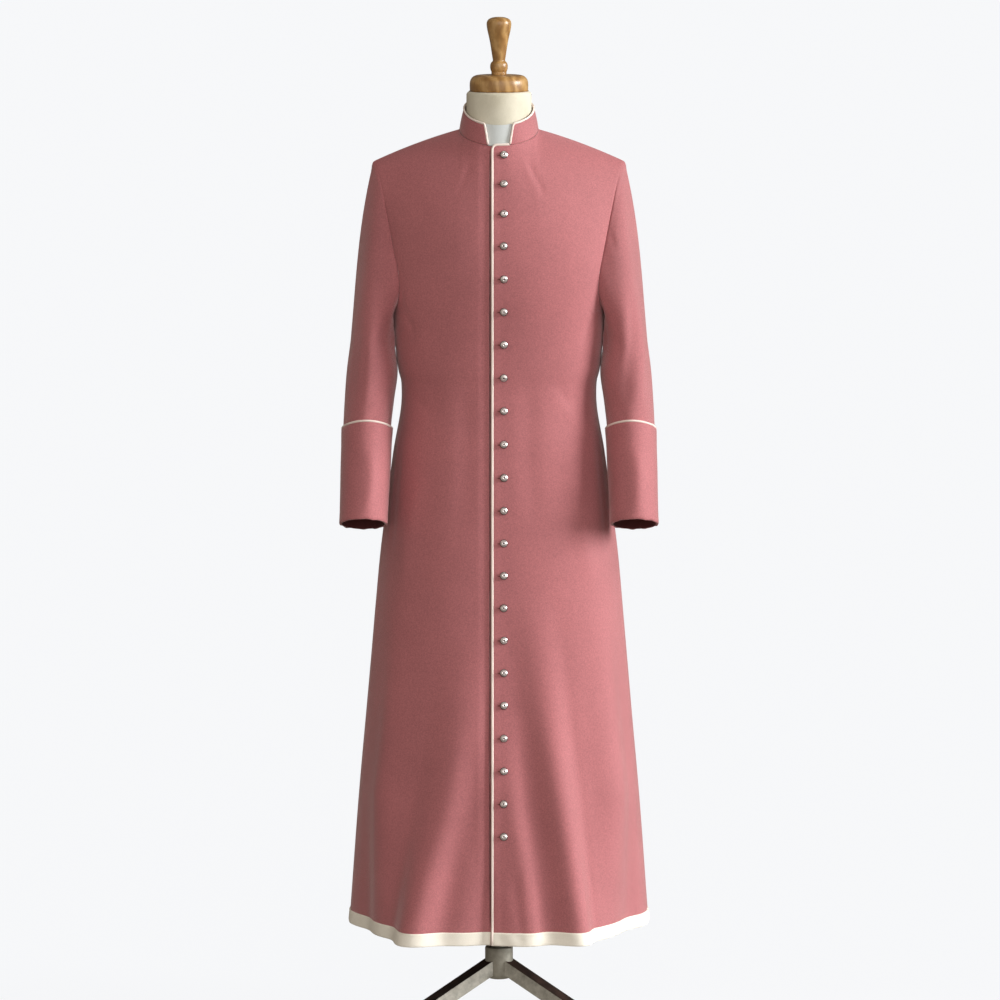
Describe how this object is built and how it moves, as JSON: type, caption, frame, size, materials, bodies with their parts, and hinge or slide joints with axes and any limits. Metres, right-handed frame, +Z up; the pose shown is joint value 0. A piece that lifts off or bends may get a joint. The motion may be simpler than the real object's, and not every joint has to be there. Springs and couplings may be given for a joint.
{
  "type": "cassock on limbless dress form",
  "caption": "Dusty rose wool cassock with cream piping, hem band and a full row of silver buttons, worn by a limbless dress form on a tripod stand.",
  "frame": {"origin": "floor level under the stand's pole, which is the Z axis", "axes": "+Z up, +X to the wearer's left, -Y the way that the buttoned front faces"},
  "size_m": [0.5522, 0.4407, 1.7788],
  "materials": {
    "wool_rose": "matt wool twill",
    "trim_cream": "matt corded trim",
    "collar_tab_white": "matt",
    "button_silver": "polished, worn silver",
    "form_linen": "matt linen cover",
    "form_wood": "satin varnish",
    "stand_metal": "satin grey",
    "leg_metal": "satin brown-black"
  },
  "bodies": {
    "root": {"front_left": "wool_rose", "front_right": "wool_rose", "back_left": "wool_rose", "back_right": "wool_rose", "sleeve_left": "wool_rose", "sleeve_right": "wool_rose", "cuff_left": "wool_rose", "cuff_right": "wool_rose", "collar": "wool_rose", "tab_insert": "collar_tab_white", "hem_band_front_left": "trim_cream", "hem_band_front_right": "trim_cream", "hem_band_back_left": "trim_cream", "hem_band_back_right": "trim_cream", "piping_front_edge": "trim_cream", "piping_collar": "trim_cream", "piping_cuff_left": "trim_cream", "piping_cuff_right": "trim_cream", "button_01": "button_silver", "button_02": "button_silver", "button_03": "button_silver", "button_04": "button_silver", "button_05": "button_silver", "button_06": "button_silver", "button_07": "button_silver", "button_08": "button_silver", "button_09": "button_silver", "button_10": "button_silver", "button_11": "button_silver", "button_12": "button_silver", "button_13": "button_silver", "button_14": "button_silver", "button_15": "button_silver", "button_16": "button_silver", "button_17": "button_silver", "button_18": "button_silver", "button_19": "button_silver", "button_20": "button_silver", "button_21": "button_silver", "button_22": "button_silver", "form_torso": "form_linen", "form_cap": "form_wood", "finial": "form_wood", "pole": "stand_metal", "hub": "stand_metal", "leg_left": "leg_metal", "leg_right": "leg_metal", "leg_back": "leg_metal"}
  },
  "joints": []
}
